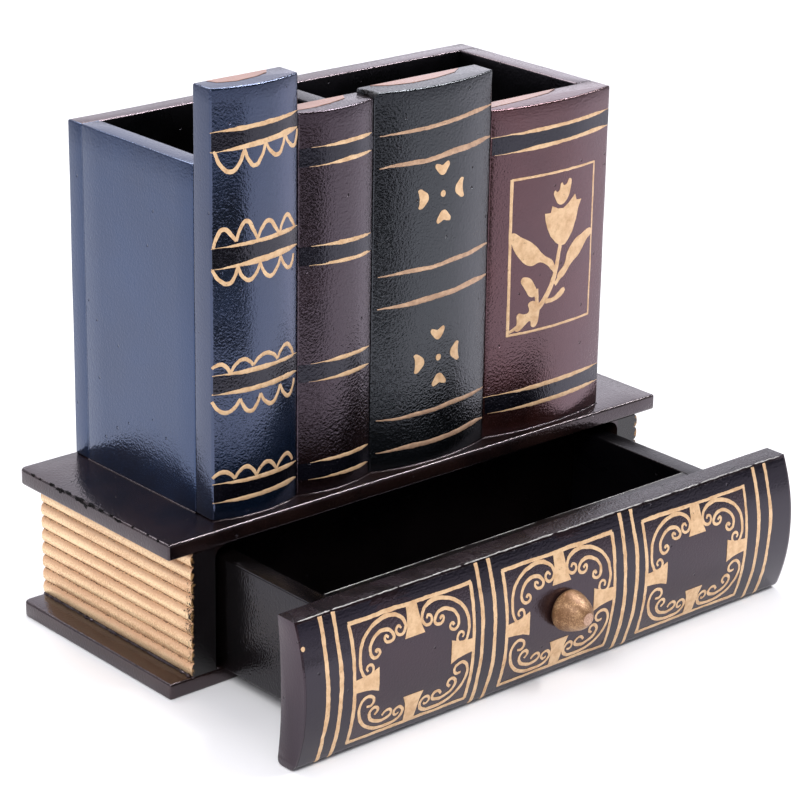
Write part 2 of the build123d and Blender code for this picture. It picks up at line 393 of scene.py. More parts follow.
def grooves_gritted_and_shaded(material, first_valley, pitch):
    """Dark ground, grit and painted shade in the grooves; each reed's upper flank in a pinker painted shade.
    """
    tree = material.node_tree
    finish = finish_of(material)
    place = object_place(tree)
    height = add_node(tree, "ShaderNodeSeparateXYZ", {"Vector": place}).outputs["Z"]
    above = worked_out(tree, "SUBTRACT", height, first_valley)
    turns = worked_out(tree, "DIVIDE", above, pitch)
    from_valley = worked_out(tree, "PINGPONG", turns, 0.5)
    # The upper flank of each reed is painted pinker: painted shade.
    upper_flank_shade = ranged(tree, worked_out(tree, "FRACT", turns), 0.45, 0.8, 0.0, 0.8)
    shown = blended(tree, upper_flank_shade, source(finish, "Base Color"), srgb(214, 168, 132))
    # Dark ground and grit in the grooves; the darkening there is partly painted shade.
    grit = speckle(tree, place, 1500.0, 3.0, 0.75)
    for spread, limit, strength in ((0.26, 0.135, 0.5), (0.7, 0.335, 0.75)):
        reach = worked_out(tree, "MULTIPLY_ADD", grit, spread, from_valley)
        groove = ranged(tree, reach, limit, limit + 0.04, strength, 0.0)
        shown = blended(tree, groove, shown, srgb(76, 48, 25))
    tree.links.new(shown, finish.inputs["Base Color"])


def frayed(material, full_reach, bare_reach):
    """End gold raggedly on the block's ends, and show the dark varnish beyond."""
    tree = material.node_tree
    finish = finish_of(material)
    place = object_place(tree)
    across = add_node(tree, "ShaderNodeSeparateXYZ", {"Vector": place}).outputs["X"]
    ragged = speckle(tree, place, 520.0, 4.0, 0.7)
    reach = worked_out(tree, "MULTIPLY_ADD", ragged, 5 * mm, worked_out(tree, "ABSOLUTE", across))
    gilded = ranged(tree, reach, bare_reach + 2.5 * mm, full_reach + 2.5 * mm)
    shown = blended(tree, gilded, srgb(9, 6, 7), source(finish, "Base Color"))
    tree.links.new(shown, finish.inputs["Base Color"])
    tree.links.new(worked_out(tree, "MULTIPLY", gilded, 0.35), finish.inputs["Metallic"])
    tree.links.new(worked_out(tree, "MULTIPLY_ADD", gilded, 0.25, 0.15), finish.inputs["Roughness"])


def page_block(side, node):
    """One block: flat inside, half-round reeds outside, from one end to the other."""
    low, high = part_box(node)
    pitch = (high.z - low.z) / reed_count
    crest_x = high.x if side > 0 else low.x
    inner_x = low.x if side > 0 else high.x
    outline = [(inner_x, low.y, low.z)]
    for reed in range(reed_count):
        for step in range(11):
            part = step / 10
            if reed and step == 0:
                continue
            rise = (4 * part * (1 - part)) ** 0.55
            outline.append((crest_x - side * reed_depth * (1 - rise), low.y, low.z + (reed + part) * pitch))
    outline.append((inner_x, low.y, high.z))
    piece = drawn_out(node + "_gilded", outline, (0, high.y - low.y, 0))
    cut_in_cells(piece, 1, 3 * mm)
    for vertex in piece.data.vertices:
        if abs(vertex.co.x - inner_x) > 2 * mm:
            worn = 1.0 + 2.2 * math.exp((low.y - vertex.co.y) / (2.5 * mm))
            vertex.co.x += noise.noise(vertex.co * 260) * 0.09 * mm * worn
    bpy.ops.object.shade_smooth_by_angle(angle=math.radians(50))
    for paint in (page_gold, page_end, cover_varnish):
        piece.data.materials.append(paint)
    for face in piece.data.polygons:
        if abs(face.normal.y) > 0.7:
            face.material_index = 1
        elif abs(face.center.x - crest_x) > 2 * mm:
            face.material_index = 2
    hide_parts(node)
    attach(piece, "stand")


for side, node in ((-1, "page_block_left"), (1, "page_block_right")):
    page_block(side, node)
block_low, block_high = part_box("page_block_right")
grooves_gritted_and_shaded(page_gold, block_low.z, (block_high.z - block_low.z) / reed_count)
for end_x in (-block_high.x, block_high.x):
    chipped(page_gold, (end_x, block_low.y, (block_low.z + block_high.z) / 2), (6 * mm, 15 * mm, 60 * mm),
            srgb(46, 28, 18), solid=0.8)
frayed(page_end, full_reach=block_high.x - 0.1 * mm, bare_reach=block_high.x - 1.1 * mm)

# ----------------------------------------------------------------------- pen box
# Side panels, divider and back of the pen box: fibreboard painted navy on the
# left and maroon on the right and back, and plain black inside.
navy = varnished("navy_varnish", srgb(4, 10, 22), srgb(9, 26, 48), gloss=0.85, tint=(0.44, 0.58, 1),
                 bump=0.0001)
maroon = varnished("maroon_varnish", srgb(12, 6, 7), srgb(34, 16, 17), gloss=0.6, tint=(1, 0.78, 0.9))
box_black = varnished("box_black", srgb(2, 2, 2), srgb(5, 5, 6), gloss=0.2, roughness=0.3, haze=0.0)


def paint_side(piece, direction, material):
    """Paint the faces that look in one direction with the piece's next material."""
    piece.data.materials.append(material)
    index = len(piece.data.materials) - 1
    for face in piece.data.polygons:
        if face.normal.dot(Vector(direction)) > 0.8:
            face.material_index = index


box_edge_radius = 0.7 * mm
for panel, slot, paint, inward in (
    ("left", "blue_book", navy, (1, 0, 0)),
    ("right", "maroon_book", maroon, (-1, 0, 0)),
    ("back", "maroon_book", maroon, (0, -1, 0)),
):
    node = "box_" + panel + "_panel"
    board = sawn_board("box_" + panel + "_painted", node, "stand", box_edge_radius, paint)
    paint_side(board, inward, box_black)

# the last one, the back panel, shows its left end on the navy side
board.data.materials.append(navy)
for face in board.data.polygons:
    if face.center.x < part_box("box_left_panel")[0].x + 1.2 * mm:
        face.material_index = 2
sawn_board("box_divider_painted", "box_divider", "stand", box_edge_radius, box_black)

# ------------------------------------------------------------------- book spines
# Four staves stand in front of the box as the spines of upright books: flat
# behind, planed to a shallow round in front, the edges taken off by hand.
spine_bulge = {"blue": 3.8 * mm, "maroon": 3.5 * mm, "green": 5.0 * mm, "brown": 4.0 * mm}
spine_edge_radius = 0.85 * mm
spine_paint = {
    "blue": varnished("blue_book", srgb(4, 8, 15), srgb(9, 21, 38), gloss=0.82, tint=(0.53, 0.63, 1),
                      bump=0.00009),
    "maroon": varnished("maroon_book", srgb(6, 3, 3), srgb(18, 8, 8), gloss=0.45, tint=(1, 0.8, 1),
                        bump=0.00016),
    "green": varnished("green_book", srgb(2, 3, 4), srgb(7, 9, 11), gloss=0.41, tint=(0.84, 0.89, 1),
                       bump=0.00016),
    "brown": varnished("brown_book", srgb(20, 8, 7), srgb(46, 21, 17), gloss=0.68, tint=(1, 0.61, 0.71)),
}


def arc_radius(chord, bulge):
    """Radius of an arc that stands out by its bulge over a chord."""
    return (chord ** 2 / 4 + bulge ** 2) / (2 * bulge)


def spine_front(book):
    """Gives the front surface's y at any x of one spine."""
    low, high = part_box("spine_" + book)
    radius = arc_radius(high.x - low.x, spine_bulge[book])
    middle = (low.x + high.x) / 2
    centre_y = low.y + radius
    return lambda x: centre_y - math.sqrt(max(radius ** 2 - (x - middle) ** 2, 0))


def book_spine(book):
    """One stave: its rounded outline drawn out to its height."""
    low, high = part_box("spine_" + book)
    front = spine_front(book)
    steps = 28
    outline = [(high.x, high.y, low.z), (low.x, high.y, low.z)]
    for step in range(steps + 1):
        x = low.x + (high.x - low.x) * step / steps
        outline.append((x, front(x), low.z))
    piece = drawn_out("spine_" + book + "_painted", outline, (0, 0, high.z - low.z))
    cut_in_cells(piece, 2, 6 * mm)
    hand_finish(piece, spine_edge_radius, segments=4)
    piece.data.materials.append(spine_paint[book])
    paint_side(piece, (0, 1, 0), box_black)
    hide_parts("spine_" + book)
    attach(piece, "stand")


for book in spine_bulge:
    book_spine(book)
green_low, green_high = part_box("spine_green")
chipped(spine_paint["green"], (green_low.x, (green_low.y + green_high.y) / 2, green_high.z),
        (2 * mm, 6 * mm, 2.2 * mm), srgb(26, 20, 18), solid=1.5, grain=1400.0)

# -------------------------------------------------------------------- drawer box
# Five thin boards butted, glued and nailed to an open tray, and painted black.
# It has no runners: it slides on the lower cover, between the page blocks.
drawer_black = varnished("drawer_black", srgb(3, 2, 2), srgb(9, 6, 6), gloss=0.18, tint=(0.9, 0.85, 1))
wall_black_shaded = varnished("wall_black_shaded", srgb(2, 2, 3), srgb(6, 5, 7), gloss=0.12, tint=(1, 0.9, 1),
                       roughness=0.3, haze=0.0)
# The front wall and the right side take a darker, duller copy of the same black: painted shade.
for wall in ("left_side", "right_side", "front_wall", "back_wall", "bottom"):
    paint = wall_black_shaded if wall in ("front_wall", "right_side") else drawer_black
    sawn_board("drawer_" + wall + "_painted", "drawer_" + wall, "drawer", 0.6 * mm, paint,
               coat=0.03 * mm)

# ------------------------------------------------------------------- drawer face
# The lying book's spine closes the drawer: a plank rounded in front and
# hollowed behind, purple-black within the gold frames and charcoal around them.
face_low, face_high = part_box("drawer_face")
face_bulge = 5.8 * mm
face_hollow = 2.0 * mm
face_end = 8.6 * mm
foot_radius = 2.5 * mm
face_mid_z = (face_low.z + face_high.z) / 2
face_radius = arc_radius(face_high.z - face_low.z, face_bulge)
hollow_radius = arc_radius(face_high.z - face_low.z, face_hollow)
rim_y = face_low.y + face_bulge + face_end


def face_front(z):
    """The face's front surface, y at any height."""
    return face_low.y + face_radius - math.sqrt(face_radius ** 2 - (z - face_mid_z) ** 2)


def face_back(z):
    """The face's hollow back, y at any height."""
    return rim_y - face_hollow + hollow_radius - math.sqrt(hollow_radius ** 2 - (z - face_mid_z) ** 2)


face_varnish = varnished("face_varnish", srgb(12, 8, 10), srgb(30, 18, 20), gloss=0.36,
                         tint=(1, 0.8, 0.98), bump=0.00008)
face_charcoal = varnished("face_charcoal", srgb(8, 7, 12), srgb(18, 16, 25), gloss=0.31,
                          tint=(0.93, 0.82, 1), bump=0.00004)
face_top_varnish = varnished("face_top_varnish", srgb(14, 10, 12), srgb(38, 29, 34), gloss=0.2,
                             tint=(0.97, 0.88, 1), roughness=0.27, bump=0.0003, cloud_scale=90.0)


def rounded_corner(before, corner, after, radius):
    """Five points of a round, in place of one corner of an outline."""
    start = corner + (before - corner).normalized() * radius
    end = corner + (after - corner).normalized() * radius
    return [start.lerp(corner, part).lerp(corner.lerp(end, part), part) for part in (0, 0.25, 0.5, 0.75, 1)]


def drawer_face():
    """The plank: its outline, with two rounds at the foot, drawn out to its length."""
    steps = 24
    heights = [face_low.z + (face_high.z - face_low.z) * step / steps for step in range(steps + 1)]
    front = [Vector((face_low.x, face_front(z), z)) for z in heights]
    rear = [Vector((face_low.x, face_back(z), z)) for z in heights]
    outline = rounded_corner(rear[0], front[0], front[1], foot_radius) + front[1:] + rear[:0:-1]
    outline += rounded_corner(rear[1], rear[0], front[0], foot_radius)
    piece = drawn_out("drawer_face_painted", outline, (face_high.x - face_low.x, 0, 0))
    cut_in_cells(piece, 0, 6 * mm)
    hand_finish(piece, 0.7 * mm)
    piece.data.materials.append(face_varnish)
    piece.data.materials.append(face_top_varnish)
    for face in piece.data.polygons:
        if face.normal.z > 0.95 and face.center.z > face_high.z - 0.5 * mm:
            face.material_index = 1
    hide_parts("drawer_face")
    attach(piece, "drawer")


drawer_face()

# ----------------------------------------------------------- gold painted pattern
# All ornament is brushed on in gold: each stroke is a thin raised bead of paint
# that follows the rounded wood, and filled shapes are flat patches of it.
pattern_gold = gold_paint("pattern_gold", srgb(225, 190, 148), srgb(200, 160, 118), srgb(96, 68, 50),
                          metallic=0.3, roughness=0.45)
bead_height = 0.13  # as a share of half the bead's width


def painted_strokes(name, strokes, lay, body, material=pattern_gold):
    """Strokes of (across, up, half width) points in millimetres, laid on a surface."""
    curve = bpy.data.curves.new(name, "CURVE")
    curve.dimensions = "3D"
    curve.bevel_depth = mm
    curve.bevel_resolution = 2
    curve.resolution_u = 7
    curve.use_fill_caps = True
    for stroke in strokes:
        spline = curve.splines.new("BEZIER")
        spline.bezier_points.add(len(stroke) - 1)
        for point, (across, up, half_width) in zip(spline.bezier_points, stroke):
            point.co = (across * mm, 0, up * mm)
            point.radius = half_width
            point.handle_left_type = "AUTO"
            point.handle_right_type = "AUTO"
    new_piece(name, curve)
    bpy.ops.object.convert(target="MESH")
    piece = bpy.context.object
    for vertex in piece.data.vertices:
        across, depth, up = vertex.co
        place = Vector((across, 0, up))
        shake = noise.noise_vector(place * 420) * 0.16 * mm + noise.noise_vector(place * 1500) * 0.1 * mm
        vertex.co = lay(across + shake.x, depth * bead_height, up + shake.z)
    bpy.ops.object.shade_smooth_by_angle(angle=math.radians(60))
    piece.data.materials.append(material)
    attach(piece, body)


def line_stroke(start, end, half_width, points, sway):
    """A brushed line between two (across, up) places, with a slightly unsteady hand."""
    (start_x, start_z), (end_x, end_z) = start, end
    upright = abs(end_z - start_z) > abs(end_x - start_x)
    stroke = []
    for number in range(points):
        part = number / (points - 1)
        shake = noise.noise(Vector((start_x * 0.37 + part * 5.1, start_z * 0.53, end_x * 0.11)))
        stroke.append((
            start_x + (end_x - start_x) * part + sway * shake * upright,
            start_z + (end_z - start_z) * part + sway * shake * (not upright),
            half_width * (1 + 0.25 * shake),
        ))
    return stroke


def on_face(across, depth, up):
    """Place on the drawer's face and its rounded foot, depth being negative outwards."""
    rise = min(1, math.sqrt(max(up - face_low.z, 0) / (0.9 * foot_radius)))
    front = face_front(up) + foot_radius * (1 - rise) ** 2
    return sanded(Vector((across, front, up))) + Vector((0, depth, 0))


# Drawer face: pairs of upright lines part it in three framed panels. Each panel
# has a flared tab at the middle of each side and a double scroll in each corner.
# Places across are in millimetres from the face's left end, as they were measured.
to_middle = -120.0
line_pairs = [(10.6, 16.4), (80.6, 86.5), (150.9, 156.8), (222.0, 228.5)]
panel_ends = [(21.8, 76.5), (91.7, 145.4), (161.3, 215.4)]
panels = [(left + to_middle, right + to_middle) for left, right in panel_ends]
lean = 1.0  # how far left of its top an upright line stands at its foot
face_bottom, face_top = face_low.z / mm, face_high.z / mm
panel_bottom = face_bottom + 0.08 * (face_top - face_bottom)
panel_top = face_bottom + 0.89 * (face_top - face_bottom)
centre_z = (panel_bottom + panel_top) / 2
half_height = (panel_top - panel_bottom) / 2

face_strokes = []
for pair in line_pairs:
    for place in pair:
        foot, head = (place + to_middle - lean, face_bottom + 0.6), (place + to_middle, face_top - 0.7)
        face_strokes.append(line_stroke(foot, head, 0.85, points=12, sway=0.5))
for left, right in panels:
    for z, right_end in ((panel_bottom, right - lean), (panel_top, right)):
        face_strokes.append(line_stroke((left - 0.4, z), (right_end + 0.4, z), 0.68, points=12, sway=0.3))
    for x, foot_x in ((left, left), (right, right - lean)):
        face_strokes.append(line_stroke((foot_x, panel_bottom), (x, panel_top), 0.72, points=9, sway=0.3))

# a corner's scrolls, as distances in from the panel's side and from its top or bottom
outer_scroll = [
    (21.7, 6.9, 0.45), (20.6, 5.9, 0.6), (19.3, 7.3, 0.6), (21.0, 9.2, 0.65), (23.5, 7.3, 0.7),
    (23.2, 4.8, 0.75), (21.1, 2.7, 0.8), (17.7, 1.5, 0.85), (13.0, 1.9, 0.8), (7.6, 4.2, 0.75),
    (4.0, 8.0, 0.75), (2.8, 12.5, 0.75), (3.2, 17.3, 0.7), (5.0, 20.0, 0.7), (7.6, 19.5, 0.65),
    (8.3, 17.6, 0.6), (7.0, 15.9, 0.6), (5.4, 16.8, 0.55), (5.9, 18.1, 0.45),
]
inner_scroll = [
    (15.8, 8.6, 0.5), (14.4, 7.9, 0.6), (14.2, 9.2, 0.6), (16.1, 10.3, 0.65), (18.0, 9.3, 0.7),
    (17.6, 7.4, 0.75), (14.7, 5.7, 0.8), (10.9, 6.3, 0.75), (8.2, 8.6, 0.7), (7.3, 11.5, 0.7),
    (8.5, 13.8, 0.7), (10.7, 13.7, 0.65), (11.4, 12.3, 0.6), (10.2, 11.4, 0.6), (9.6, 12.3, 0.7),
]
low_outer_scroll = [
    (21.7, 5.5, 0.45), (20.5, 4.9, 0.6), (19.3, 6.5, 0.6), (20.8, 8.0, 0.65), (23.0, 6.8, 0.7),
    (23.3, 4.9, 0.75), (21.4, 2.7, 0.8), (16.6, 1.9, 0.85), (10.0, 2.9, 0.8), (5.3, 6.2, 0.75),
    (2.9, 10.7, 0.75), (2.9, 14.2, 0.7), (4.7, 16.6, 0.7), (7.2, 16.8, 0.7), (9.0, 15.0, 0.65),
    (8.2, 13.2, 0.65), (5.9, 13.1, 0.55),
]
low_inner_scroll = [
    (13.8, 7.0, 0.6), (15.4, 8.5, 0.65), (17.4, 8.1, 0.65), (17.9, 6.5, 0.7), (15.7, 5.1, 0.8),
    (11.7, 5.3, 0.8), (7.9, 8.2, 0.75), (8.1, 10.8, 0.7), (10.4, 11.6, 0.7), (11.4, 10.0, 0.65),
    (10.1, 8.5, 0.6),
]
for left, right in panels:
    middle = (left + right) / 2
    half = (right - left) / 2
    for side in (-1, 1):
        for rise, scrolls in ((-1, (low_outer_scroll, low_inner_scroll)), (1, (outer_scroll, inner_scroll))):
            for scroll in scrolls:
                face_strokes.append([
                    (middle + side * (half - inward), centre_z + rise * (half_height - down), width * 0.87)
                    for inward, down, width in scroll
                ])


def over_ground(across, depth, up):
    """Place on the face's charcoal ground, which lies a little above the wood."""
    return on_face(across, depth - 0.07 * mm, up)


painted_strokes("face_gold_lines", face_strokes, over_ground, "drawer")


def close_up():
    """Merge the piece's doubled points and turn its faces outwards."""
    bpy.ops.object.mode_set(mode="EDIT")
    bpy.ops.mesh.select_all(action="SELECT")
    bpy.ops.mesh.remove_doubles(threshold=0.01 * mm)
    bpy.ops.mesh.normals_make_consistent(inside=False)
    bpy.ops.object.mode_set(mode="OBJECT")


def painted_shapes(name, shapes, lay, body, cell_axis=0, cell=1.2 * mm, material=pattern_gold,
                   thickness=0.09 * mm):
    """Flat patches with outlines of (across, up) points in millimetres, laid on a surface."""
    curve = bpy.data.curves.new(name, "CURVE")
    curve.dimensions = "2D"
    curve.fill_mode = "BOTH"
    curve.extrude = thickness
    curve.resolution_u = 6
    for shape, soft in shapes:
        spline = curve.splines.new("BEZIER")
        spline.bezier_points.add(len(shape) - 1)
        for point, (across, up) in zip(spline.bezier_points, shape):
            point.co = (across * mm, up * mm, 0)
            point.handle_left_type = "AUTO" if soft else "VECTOR"
            point.handle_right_type = "AUTO" if soft else "VECTOR"
        spline.use_cyclic_u = True
    new_piece(name, curve)
    bpy.ops.object.convert(target="MESH")
    piece = bpy.context.object
    cut_in_cells(piece, cell_axis, cell)
    for vertex in piece.data.vertices:
        across, up, depth = vertex.co
        shake = noise.noise_vector(Vector((across, 0, up)) * 420) * 0.14 * mm
        vertex.co = lay(across + shake.x, -depth, up + shake.z)
    close_up()
    bpy.ops.object.shade_smooth_by_angle(angle=math.radians(40))
    piece.data.materials.append(material)
    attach(piece, body)


tab_flare = [(0.0, 2.4), (0.4, 2.7), (0.72, 3.3), (1.0, 4.5)]  # (share of its length, half width)
tab_reach, tab_height = 10.9, 11.3


def tab_outline(length):
    """A tab's points as (distance from the frame, half width): down one flared side and up the other."""
    one_side = [(part * length, half_width) for part, half_width in tab_flare]
    return one_side + [(inward, -half_width) for inward, half_width in reversed(one_side)]


tabs = []
for left, right in panels:
    middle = (left + right) / 2
    half = (right - left) / 2
    for side in (-1, 1):
        edge_x = middle + side * half
        edge_z = centre_z + side * half_height
        level = [(edge_x - side * inward, centre_z + width) for inward, width in tab_outline(tab_reach)]
        upright = [(middle + width, edge_z - side * inward) for inward, width in tab_outline(tab_height)]
        tabs += [(level, False), (upright, False)]
drip_x, drip_z = face_low.x / mm + 1.3, face_bottom + 0.84 * (face_top - face_bottom)
drip = [(drip_x + 0.8, drip_z), (drip_x, drip_z + 0.8), (drip_x - 0.8, drip_z), (drip_x, drip_z - 0.8)]
tabs.append((drip, True))
painted_shapes("face_gold_tabs", tabs, over_ground, "drawer", cell_axis=1)
ground_left, ground_right = face_low.x / mm + 0.9, face_high.x / mm - 0.9
ground_low, ground_high = face_bottom + 0.7, face_top - 0.9
rectangles = [[(ground_left, ground_low), (ground_left, ground_high),
               (ground_right, ground_high), (ground_right, ground_low)]]
for left, right in panels:
    rectangles.append([(left, panel_bottom), (left, panel_top),
                       (right, panel_top), (right - lean, panel_bottom)])
painted_shapes("face_charcoal_ground", [(corners, False) for corners in rectangles], on_face, "drawer",
               cell_axis=1, cell=0.5 * mm, material=face_charcoal, thickness=0.06 * mm)

# Spines: each book has pairs of gold lines with a dark band between the two.
# The blue one's lines carry scallops, the green one has two four-petal flowers,
# and the brown one a framed tulip. Cream paint on the tops stands for pages.
band_dark = varnished("band_dark", srgb(4, 4, 8), srgb(10, 10, 17), gloss=0.33, tint=(0.84, 0.82, 1))
page_cream = varnished("page_cream", srgb(130, 92, 78), srgb(158, 118, 102), gloss=0.18, tint=(1, 0.9, 0.95))
board_top = board_high.z / mm


def on_spine(book):
    """Gives the place of (across, depth, up) on one spine's front, up being from the board."""
    front = spine_front(book)
    return lambda across, depth, up: (
        sanded(Vector((across, front(across), up + board_top * mm))) + Vector((0, depth, 0)))


def along_spine(book, points):
    """Points given as a share of the spine's width, a height and maybe a half width."""
    low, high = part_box("spine_" + book)
    return [((low.x + (high.x - low.x) * share) / mm, *others) for share, *others in points]


def rule(book, left_z, right_z, half_width, start=0.0, full=0.3, end=0.985, waver=0.1):
    """A ruled line that a brush presses gradually at its left and lifts from at its right."""
    stroke = []
    steps = 14
    for number in range(steps + 1):
        part = number / steps
        across = start + (end - start) * part
        press = min(1.0, 0.16 + 0.84 * (across - start) / (full - start)) * min(1.0, 0.3 + (1 - part) * 6)
        shake = noise.noise(Vector((part * 4.1, left_z * 0.37, right_z * 0.21)))
        stroke.append((across, left_z + (right_z - left_z) * across + waver * shake,
                       half_width * press * (1 + 0.3 * shake)))
    return along_spine(book, stroke)


def bows(book, cusps, crests, line, fall):
    """Small bows from cusp to cusp over their crests; heights are given from a sloping line."""
    strokes = []
    for number, (crest, rise) in enumerate(crests):
        (start, start_rise), (end, end_rise) = cusps[number], cusps[number + 1]
        points = [
            (start, start_rise, 0.5),
            (start + (crest - start) * 0.4, start_rise + (rise - start_rise) * 0.66, 0.66),
            (crest, rise, 0.8),
            (end - (end - crest) * 0.4, end_rise + (rise - end_rise) * fall, 0.68),
            (end, end_rise, 0.55),
        ]
        strokes.append(along_spine(book, [
            (across, line[0] + (line[1] - line[0]) * across + up, half_width)
            for across, up, half_width in points]))
    return strokes


def dark_bands(book, pairs):
    """Dark paint between the two lines of each pair, given by their left and right heights."""
    shapes = []
    for upper, lower in pairs:
        corners = [(0.01, upper[0]), (0.01, lower[0]), (0.99, lower[1]), (0.99, upper[1])]
        shapes.append((along_spine(book, corners), False))
    painted_shapes(book + "_dark_bands", shapes, on_spine(book), "stand",
                   material=band_dark, thickness=0.05 * mm)


blue_pairs = [
    ((141.7, 143.5), (134.8, 138.0)), ((100.8, 102.2), (93.5, 95.7)),
    ((54.6, 55.0), (47.7, 48.5)), ((14.0, 13.8), (7.1, 7.9)),
]
blue_strokes = []
for upper, lower in blue_pairs:
    blue_strokes.append(rule("blue", upper[0], upper[1], 0.85))
    blue_strokes.append(rule("blue", lower[0], lower[1], 1.1, full=0.4))
scallops = [
    (blue_pairs[0][1], 0.66, [(0.03, 0.3), (0.32, -1.1), (0.55, -0.7), (0.8, -0.3), (0.985, -0.8)],
     [(0.18, -7.9), (0.43, -7.6), (0.71, -6.5), (0.94, -6)]),
    (blue_pairs[1][0], 0.5, [(0.02, 0), (0.235, 1.6), (0.46, 0.7), (0.725, 0), (0.945, 0.3)],
     [(0.11, 6.5), (0.335, 8.1), (0.585, 6.3), (0.83, 5.8)]),
    (blue_pairs[1][1], 0.66, [(0.01, -0.3), (0.25, -0.6), (0.487, -1.2), (0.74, -1.4), (0.93, -2.8)],
     [(0.16, -6.1), (0.365, -6.4), (0.61, -7.2), (0.87, -7.1)]),
    (blue_pairs[2][0], 0.66, [(0, 2.8), (0.17, 0.3), (0.405, 1.6), (0.7, 1.4), (0.935, 0)],
     [(0.08, 4), (0.3, 4.7), (0.55, 4.9), (0.82, 5.4)]),
    (blue_pairs[2][1], 0.66, [(0, -2.6), (0.27, -3), (0.49, -2.8), (0.735, -2.1), (0.95, -2.3)],
     [(0.13, -7.3), (0.375, -8.4), (0.62, -7.7), (0.865, -7.6)]),
    (blue_pairs[3][0], 0.66, [(0, 2.4), (0.21, 1.4), (0.44, 0.9), (0.685, 0.7), (0.92, 1.6)],
     [(0.1, 4.4), (0.325, 5.1), (0.565, 4.9), (0.83, 5)]),
]
for line, fall, cusps, crests in scallops:
    blue_strokes += bows("blue", cusps, crests, line, fall)
painted_strokes("blue_gold_lines", blue_strokes, on_spine("blue"), "stand")
dark_bands("blue", blue_pairs)

maroon_pairs = [
    ((129.6, 130.1), (122.9, 124.0)), ((93.9, 93.1), (87.0, 86.6)),
    ((50.0, 50.4), (43.3, 43.9)), ((12.2, 12.1), (5.9, 5.4)),
]
maroon_strokes = []
for upper, lower in maroon_pairs:
    maroon_strokes.append(rule("maroon", upper[0], upper[1], 0.8, start=0.14, full=0.5, end=0.96))
    maroon_strokes.append(rule("maroon", lower[0], lower[1], 0.85, start=0.12, full=0.6, end=0.96))
painted_strokes("maroon_gold_lines", maroon_strokes, on_spine("maroon"), "stand")
dark_bands("maroon", maroon_pairs)

green_lines = [(128.2, 131.4), (116.1, 119.2), (75.4, 78.1), (63.1, 65.9), (19.8, 21.4), (7.6, 9.0)]
green_gold = gold_paint("green_book_gold", srgb(206, 170, 138), srgb(176, 142, 116), srgb(84, 70, 60),
                        cover=0.36, metallic=0.4)
painted_strokes("green_gold_lines", [
    rule("green", left_z, right_z, 0.85 + 0.15 * (number % 2), start=0.04, waver=0.7)
    for number, (left_z, right_z) in enumerate(green_lines)
], on_spine("green"), "stand", material=green_gold)
heart = [(0, -2.6), (2.1, -1.2), (3.2, 1.8), (1.5, 1.7), (0, 1.1), (-1.5, 1.7), (-3.2, 1.8), (-2.1, -1.2)]
moon = [(0, -2.7), (2.3, -1.4), (3.5, 1.7), (1.9, 1.5), (0, 1.3), (-1.9, 1.5), (-3.5, 1.7), (-2.3, -1.4)]
flowers = []
for share, middle_z in ((0.515, 103.3), (0.505, 40.6)):
    (x, z), = along_spine("green", [(share, middle_z)])
    flowers.append(([(x + 1.2, z), (x, z + 1.25), (x - 1.2, z), (x, z - 1.25)], True))
    for quarter, apart in enumerate((9.7, 9.5, 8.9, 8.8)):
        turn = math.radians(90 * quarter + 3)
        petal = moon if quarter % 2 else heart
        flowers.append(([(
            x + across * math.cos(turn) - (apart + out) * math.sin(turn),
            z + across * math.sin(turn) + (apart + out) * math.cos(turn),
        ) for across, out in petal], True))
painted_shapes("green_gold_flowers", flowers, on_spine("green"), "stand")

brown_pairs = [((118.0, 119.6), (111.3, 113.6)), ((16.6, 17.2), (9.8, 10.4))]
frame_left, frame_right = 0.155, 0.852
frame_low, frame_high = 39.8, 100.8
brown_strokes = []
for upper, lower in brown_pairs:
    brown_strokes.append(rule("brown", upper[0], upper[1], 0.8, full=0.35))
    brown_strokes.append(rule("brown", lower[0], lower[1], 0.85, start=0.03, full=0.3))


def in_frame(points):
    """Shares across and up the frame, as places on the spine, which turns away to the right."""
    placed = []
    for across, up, *half_width in points:
        eased = across - 0.16 * across * (1 - across)
        share = frame_left + (frame_right - frame_left) * eased
        placed.append((share, frame_low + (frame_high - frame_low) * up, *half_width))
    return along_spine("brown", placed)


sides = [
    [(0, -0.006, 0.66), (0, 0.5, 0.62), (0, 1.006, 0.66)],
    [(1, -0.006, 0.42), (1, 0.5, 0.4), (1, 1.006, 0.42)],
    [(0, 0, 0.5), (0.33, 0, 0.52), (0.67, 0, 0.5), (1, 0, 0.46)],
    [(0, 1, 0.5), (0.33, 1, 0.46), (0.67, 1, 0.5), (1, 1, 0.42)],
]
stem = [(0.02, 0.02, 0.6), (0.16, 0.06, 0.8), (0.33, 0.125, 1.2), (0.46, 0.21, 1.2), (0.54, 0.31, 1.1),
        (0.575, 0.4, 1.0), (0.61, 0.53, 0.9)]
twig_right = [(0.555, 0.27, 0.9), (0.6, 0.3, 0.9), (0.66, 0.345, 1.1)]
twig_left = [(0.56, 0.35, 1.0), (0.52, 0.395, 1.0), (0.48, 0.425, 1.0)]
sprig = [(0.45, 0.175, 0.9), (0.54, 0.175, 0.9), (0.62, 0.197, 1.2), (0.655, 0.215, 1.3), (0.68, 0.225, 0.8)]
stalk = [(0.36, 0.12, 0.9), (0.345, 0.2, 0.8), (0.33, 0.27, 1.2)]
brown_strokes += [in_frame(stroke) for stroke in sides + [stem, twig_right, twig_left, sprig, stalk]]
painted_strokes("brown_gold_lines", brown_strokes, on_spine("brown"), "stand")
dark_bands("brown", brown_pairs)

